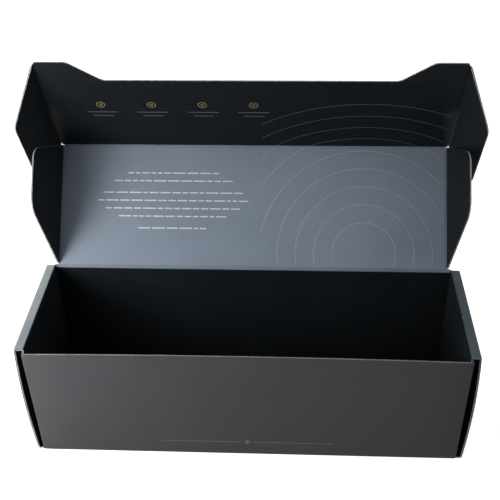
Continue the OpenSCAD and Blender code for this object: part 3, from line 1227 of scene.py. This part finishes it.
def rub_and_sheen_ear_folds(plan):
    """Pales the print of the tuck flap beside the ears' folds, most at the foot: partly flex wear, partly a
    painted sheen and highlight where the board curves.
    """
    wide, narrow = plan.board.sheen_and_rub_reach, plan.board.sheen_and_rub_foot
    piece = bpy.data.objects["tuck_board"]
    for side, sign in SIDES.items():
        strip = bpy.data.objects[f"{side}_ear_crease_strip"]
        foot = plan.on_tuck @ Vector((sign * plan.ear_x, 0, plan.half))
        half_way = plan.on_tuck @ Vector((sign * plan.ear_x, plan.lid.tuck_mid / 2, plan.half))
        for part in (piece, strip):
            mark(part, "rub", foot, half_way, (narrow, wide), WORN["fold"])
            mark(part, "rub", foot, foot, (narrow, narrow), WORN["fold_foot"])


def nick(plan, name, place, strength):
    """Wears the print of a piece around a point."""
    mark(bpy.data.objects[name], "wear", place, place, (plan.board.nick, plan.board.nick), strength)


def nick_corners(plan):
    """Wears the tray's bottom corners in front, the right ear's tip and a spot on the right rolled top."""
    for side, sign in SIDES.items():
        foot = Vector((sign * plan.wall_x, -plan.outer_y, 0))
        nick(plan, "tray_walls", foot, WORN["tray_corner"])
        end = Vector((sign * plan.outer_x, -plan.side_half, 0))
        nick(plan, f"{side}_side_wall", end, WORN["tray_corner"])
    spot = Vector((plan.inner_x, plan.board.nick_y, plan.side_h))
    nick(plan, "right_side_wall", spot, WORN["rolled_top"])
    lid = plan.lid
    tip_y = lid.tuck_depth - lid.ear_top_drop - lid.ear_top_run
    tip = plan.on_ear @ Vector((lid.ear_w, tip_y, plan.half))
    nick(plan, "right_ear_board", tip, WORN["ear_tip"])


# Ink


def ink_bar(bm, x, y, long, tall):
    """A flat bar of ink, from its left end."""
    matrix = Matrix.Translation((x + long / 2, y, 0)) @ Matrix.Diagonal((long, tall, 1, 1))
    bmesh.ops.create_grid(bm, x_segments=1, y_segments=1, size=0.5, matrix=matrix)


def ink_ring(bm, x, y, radius, line, steps):
    """A flat ring of ink."""
    inner = bm.verts.new((x + radius - line / 2, y, 0))
    outer = bm.verts.new((x + radius + line / 2, y, 0))
    edge = bm.edges.new((inner, outer))
    bmesh.ops.spin(
        bm,
        geom=[inner, outer, edge],
        cent=(x, y, 0),
        axis=(0, 0, 1),
        angle=math.tau,
        steps=steps,
        use_merge=True,
    )


def ink_line(bm, middle, y, width, ink, chance):
    """A centred line of dashes of uneven length."""
    dashes = []
    while sum(dashes) + ink.gap * len(dashes) < width:
        dashes.append(chance.uniform(ink.dash_short, ink.dash_long))
    x = middle - (sum(dashes) + ink.gap * (len(dashes) - 1)) / 2
    for dash in dashes:
        ink_bar(bm, x, y, dash, ink.line)
        x += dash + ink.gap


def ink_arcs(plan, foot, low, high):
    """The rings around a point of the lid, cut off at a panel's edges."""
    ink = plan.ink
    bm = bmesh.new()
    for index in range(ink.arcs):
        radius = ink.arc_first + ink.arc_pitch * index
        ink_ring(bm, ink.arc_x, foot, radius, ink.arc_line, ink.arc_steps)
    trim(bm, "x", ink.arc_from, "above")
    trim(bm, "x", plan.lid_x - ink.border, "below")
    trim(bm, "y", low, "above")
    trim(bm, "y", high, "below")
    return bm


def lay_ink(bm, plan, frame_at, name, body, ink_name):
    """Gives flat ink its thickness, half of it in the board, and lays it on a panel's inner face."""
    film = plan.ink.film
    grown = bmesh.ops.extrude_face_region(bm, geom=bm.faces[:])["geom"]
    upper = only(bmesh.types.BMVert, grown)
    bmesh.ops.translate(bm, verts=bm.verts, vec=(0, 0, plan.half - film))
    bmesh.ops.translate(bm, verts=upper, vec=(0, 0, 2 * film))
    bmesh.ops.recalc_face_normals(bm, faces=bm.faces)
    bmesh.ops.transform(bm, matrix=frame_at, verts=bm.verts)
    piece = make_piece(bm, name, [finish(ink_name)])
    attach(piece, body)


def print_lid(plan):
    """A centred block of lines on the lid, and arcs beside it."""
    ink = plan.ink
    chance = random.Random(ink.seed)
    bm = bmesh.new()
    y = ink.block_top
    for group in BLOCK_LINES:
        for part in group:
            ink_line(bm, ink.block_x, y, ink.block_w * part, ink, chance)
            y -= ink.line_pitch
        y -= ink.line_pitch / 2
    lay_ink(bm, plan, plan.on_lid, "lid_lines", "lid", "pale_ink")
    bm = ink_arcs(plan, ink.arc_y, ink.border, plan.lid_len - plan.lid.crease_half)
    lay_ink(bm, plan, plan.on_lid, "lid_arcs", "lid", "faint_ink")


def print_tuck(plan):
    """A row of rings on the tuck flap, each over two short lines, and the arcs that go on from the lid."""
    ink = plan.ink
    rings, lines = bmesh.new(), bmesh.new()
    for index in range(ink.rings):
        x = ink.ring_x + ink.ring_pitch * index
        for radius in (ink.ring_r, ink.ring_r * ink.ring_core):
            ink_ring(rings, x, ink.ring_y, radius, ink.ring_line, ink.ring_steps)
        for row, share_of_pitch in CAPTION_LINES:
            long = ink.ring_pitch * share_of_pitch
            ink_bar(lines, x - long / 2, ink.ring_y - row * ink.caption_pitch, long, ink.caption_line)
    lay_ink(rings, plan, plan.on_tuck, "tuck_rings", "tuck_flap", "gold_ink")
    lay_ink(lines, plan, plan.on_tuck, "tuck_lines", "tuck_flap", "dim_ink")
    high = plan.lid.tuck_mid - ink.border
    bm = ink_arcs(plan, ink.arc_y - plan.lid_len, plan.lid.crease_half, high)
    lay_ink(bm, plan, plan.on_tuck, "tuck_arcs", "tuck_flap", "dim_ink")


def print_front(plan):
    """Two lines on the front wall with a diamond between them."""
    ink = plan.ink
    bm = bmesh.new()
    for x in (-ink.rule - 2 * ink.diamond, 2 * ink.diamond):
        ink_bar(bm, x, ink.rule_z, ink.rule, ink.rule_line)
    bmesh.ops.create_circle(
        bm, cap_ends=True, segments=4, radius=ink.diamond, matrix=Matrix.Translation((0, ink.rule_z, 0))
    )
    outward = Matrix.Rotation(math.pi / 2, 4, "X")
    at_front = Matrix.Translation((0, plan.half - plan.outer_y, 0)) @ outward
    lay_ink(bm, plan, at_front, "front_mark", "tray", "mauve_ink")


# Stage


def add_lamp(name, watts, size, place):
    """A soft square lamp that looks at the box, and isn't seen itself."""
    data = bpy.data.lights.new(name, "AREA")
    data.energy = watts
    data.size = size
    lamp = bpy.data.objects.new(name, data)
    lamp.location = place
    lamp.rotation_mode = "QUATERNION"
    lamp.rotation_quaternion = (LAMP_AIM - lamp.location).to_track_quat("-Z", "Y")
    lamp.visible_camera = False
    bpy.context.scene.collection.objects.link(lamp)


def add_camera(stage):
    """The camera at the photograph's viewing angle."""
    data = bpy.data.cameras.new("camera")
    data.lens = stage.lens
    data.sensor_width = SENSOR_WIDTH
    camera = bpy.data.objects.new("camera", data)
    bpy.context.scene.collection.objects.link(camera)
    flat = math.cos(stage.pitch)
    ahead = Vector((math.sin(stage.yaw) * flat, math.cos(stage.yaw) * flat, -math.sin(stage.pitch)))
    level = ahead.cross(AXES["z"]).normalized()
    upright = level.cross(ahead)
    right = math.cos(stage.roll) * level + math.sin(stage.roll) * upright
    up = math.cos(stage.roll) * upright - math.sin(stage.roll) * level
    turned = Matrix((right, up, -ahead)).transposed().to_4x4()
    camera.matrix_world = Matrix.Translation(stage.camera_place) @ turned
    bpy.context.scene.camera = camera


def seen_directly(tree):
    """1 for rays from the camera, from gloss and through glass, 0 for the rays that carry light."""
    path = add_node(tree, "ShaderNodeLightPath")
    direct = calculate(tree, "MAXIMUM", path.outputs["Is Camera Ray"], path.outputs["Is Glossy Ray"])
    return calculate(tree, "MAXIMUM", direct, path.outputs["Is Transmission Ray"])


def add_floor(stage):
    """A wide white floor that keeps the box's shadow."""
    material, tree, shader = new_material("floor_white")
    shader.inputs["Base Color"].default_value = opaque([stage.floor_grey] * 3)
    shader.inputs["Roughness"].default_value = 1.0
    shader.inputs["Specular IOR Level"].default_value = 0.0
    strength = calculate(tree, "MULTIPLY", seen_directly(tree), stage.floor_glow)
    glow = add_node(tree, "ShaderNodeEmission", [("Strength", strength)])
    both = add_node(tree, "ShaderNodeAddShader", [(0, shader.outputs[0]), (1, glow.outputs[0])])
    tree.links.new(both.outputs[0], tree.nodes["Material Output"].inputs["Surface"])
    bm = bmesh.new()
    bmesh.ops.create_circle(bm, cap_ends=True, segments=FLOOR_STEPS, radius=FLOOR_RADIUS)
    floor = make_piece(bm, "floor", [material])


def add_sky():
    """A world that shows as white and gives no light."""
    world = bpy.data.worlds.new("studio")
    world.use_nodes = True
    bpy.context.scene.world = world
    tree = world.node_tree
    background = tree.nodes["Background"]
    background.inputs["Color"].default_value = (1, 1, 1, 1)
    tree.links.new(seen_directly(tree), background.inputs["Strength"])


# Operators


class MAILER_OT_tray_walls(bpy.types.Operator):
    """Fold the base, the front and back walls and the corner flaps"""

    bl_idname = "mailer.tray_walls"
    bl_label = "Tray walls"

    def execute(self, context):
        piece = build_tray_walls(sizes())
        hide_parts("tray")
        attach(piece, "tray")
        return {"FINISHED"}


class MAILER_OT_side_walls(bpy.types.Operator):
    """Roll the double side walls"""

    bl_idname = "mailer.side_walls"
    bl_label = "Side walls"

    def execute(self, context):
        for side, piece in build_side_walls(sizes()):
            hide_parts("tray")
            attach(piece, "tray")
        return {"FINISHED"}


class MAILER_OT_lid(bpy.types.Operator):
    """Make the lid's panel"""

    bl_idname = "mailer.lid"
    bl_label = "Lid"

    def execute(self, context):
        piece = build_lid(sizes())
        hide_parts("lid_panel")
        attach(piece, "lid")
        return {"FINISHED"}


class MAILER_OT_lid_flaps(bpy.types.Operator):
    """Make the flaps at the ends of the lid"""

    bl_idname = "mailer.lid_flaps"
    bl_label = "Lid flaps"

    def execute(self, context):
        plan = sizes()
        outline = lid_flap_outline(plan)
        flaps = build_flaps(plan, "lid_flap_board", outline, plan.lid_row, plan.lid_x, plan.on_lid_flap)
        for side, piece in flaps:
            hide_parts(f"{side}_lid_flap")
            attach(piece, f"{side}_lid_flap")
        return {"FINISHED"}


class MAILER_OT_tuck_flap(bpy.types.Operator):
    """Make the tuck flap"""

    bl_idname = "mailer.tuck_flap"
    bl_label = "Tuck flap"

    def execute(self, context):
        piece = build_tuck_flap(sizes())
        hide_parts("tuck_flap")
        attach(piece, "tuck_flap")
        return {"FINISHED"}


class MAILER_OT_ears(bpy.types.Operator):
    """Make the ears of the tuck flap"""

    bl_idname = "mailer.ears"
    bl_label = "Ears"

    def execute(self, context):
        plan = sizes()
        outline = ear_outline(plan)
        ears = build_flaps(plan, "ear_board", outline, plan.tuck_row, plan.ear_x, plan.on_ear)
        for side, piece in ears:
            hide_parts(f"{side}_ear")
            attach(piece, f"{side}_ear")
        return {"FINISHED"}


class MAILER_OT_creases(bpy.types.Operator):
    """Bend the creases that the lid, its flaps and the ears turn on"""

    bl_idname = "mailer.creases"
    bl_label = "Creases"

    def execute(self, context):
        plan = sizes()
        build_hinge_crease(plan)
        build_tuck_crease(plan)
        lid_names = ("outside_grey", "inside_slate", "inside_black")
        pieces = build_end_creases(
            plan, "lid_flap_crease_strip", plan.lid_flap_runs, lid_flap_crease_outline(plan),
            plan.lid_row, plan.lid_x, plan.on_lid, lid_names,
        )
        outward = plan.on_lid_flap.to_3x3() @ AXES["x"]
        blend_end_creases(plan, pieces, "lid", "lid_flap", outward)
        ear_names = ("outside_grey", "inside_black", "inside_black")
        ears = build_end_creases(
            plan, "ear_crease_strip", plan.ear_runs, ear_crease_outline(plan),
            plan.tuck_row, plan.ear_x, plan.on_tuck, ear_names,
        )
        outward = plan.on_ear.to_3x3() @ AXES["x"]
        blend_end_creases(plan, ears, "tuck_flap", "ear", outward)
        return {"FINISHED"}


class MAILER_OT_wear_and_sheen(bpy.types.Operator):
    """Pale the print beside the ears' folds, partly flex wear and partly painted sheen, and nick the corners
    """

    bl_idname = "mailer.wear"
    bl_label = "Wear"

    def execute(self, context):
        plan = sizes()
        rub_and_sheen_ear_folds(plan)
        nick_corners(plan)
        return {"FINISHED"}


class MAILER_OT_print(bpy.types.Operator):
    """Print lines, rings and arcs on the lid, the tuck flap and the front wall"""

    bl_idname = "mailer.print"
    bl_label = "Print"

    def execute(self, context):
        plan = sizes()
        print_lid(plan)
        print_tuck(plan)
        print_front(plan)
        return {"FINISHED"}


class MAILER_OT_stage(bpy.types.Operator):
    """Set the camera, the lamps and the floor"""

    bl_idname = "mailer.stage"
    bl_label = "Stage"

    def execute(self, context):
        stage = context.scene.mailer_stage
        context.scene.view_settings.view_transform = "Standard"
        add_camera(stage)
        add_floor(stage)
        add_sky()
        for name, (size, place) in LAMPS.items():
            add_lamp(f"{name}_lamp", getattr(stage, name), size, place)
        return {"FINISHED"}


STEPS = (
    MAILER_OT_tray_walls,
    MAILER_OT_side_walls,
    MAILER_OT_lid,
    MAILER_OT_lid_flaps,
    MAILER_OT_tuck_flap,
    MAILER_OT_ears,
    MAILER_OT_creases,
    MAILER_OT_wear_and_sheen,
    MAILER_OT_print,
    MAILER_OT_stage,
)


class MAILER_PT_panel(bpy.types.Panel):
    """Lists the steps and settings of the box"""

    bl_idname = "MAILER_PT_panel"
    bl_label = "Mailer box"
    bl_space_type = "VIEW_3D"
    bl_region_type = "UI"
    bl_category = "Mailer box"

    def draw(self, context):
        for step in STEPS:
            self.layout.operator(step.bl_idname)
        for group in GROUPS:
            settings = getattr(context.scene, group)
            box = self.layout.box()
            for name in settings.bl_rna.properties.keys():
                if name not in ("rna_type", "name"):
                    box.prop(settings, name)


def register():
    """Registers the settings, steps and panel."""
    for name, group in GROUPS.items():
        bpy.utils.register_class(group)
        setattr(bpy.types.Scene, name, PointerProperty(type=group))
    for cls in (*STEPS, MAILER_PT_panel):
        bpy.utils.register_class(cls)


def unregister():
    """Takes the settings, steps and panel out again."""
    for cls in (MAILER_PT_panel, *reversed(STEPS)):
        bpy.utils.unregister_class(cls)
    for name, group in GROUPS.items():
        delattr(bpy.types.Scene, name)
        bpy.utils.unregister_class(group)


def main():
    """Builds the box and its stage."""
    register()
    bpy.ops.mailer.tray_walls()
    bpy.ops.mailer.side_walls()
    bpy.ops.mailer.lid()
    bpy.ops.mailer.lid_flaps()
    bpy.ops.mailer.tuck_flap()
    bpy.ops.mailer.ears()
    bpy.ops.mailer.creases()
    bpy.ops.mailer.wear()
    bpy.ops.mailer.print()
    bpy.ops.mailer.stage()


if __name__ == "__main__":
    main()
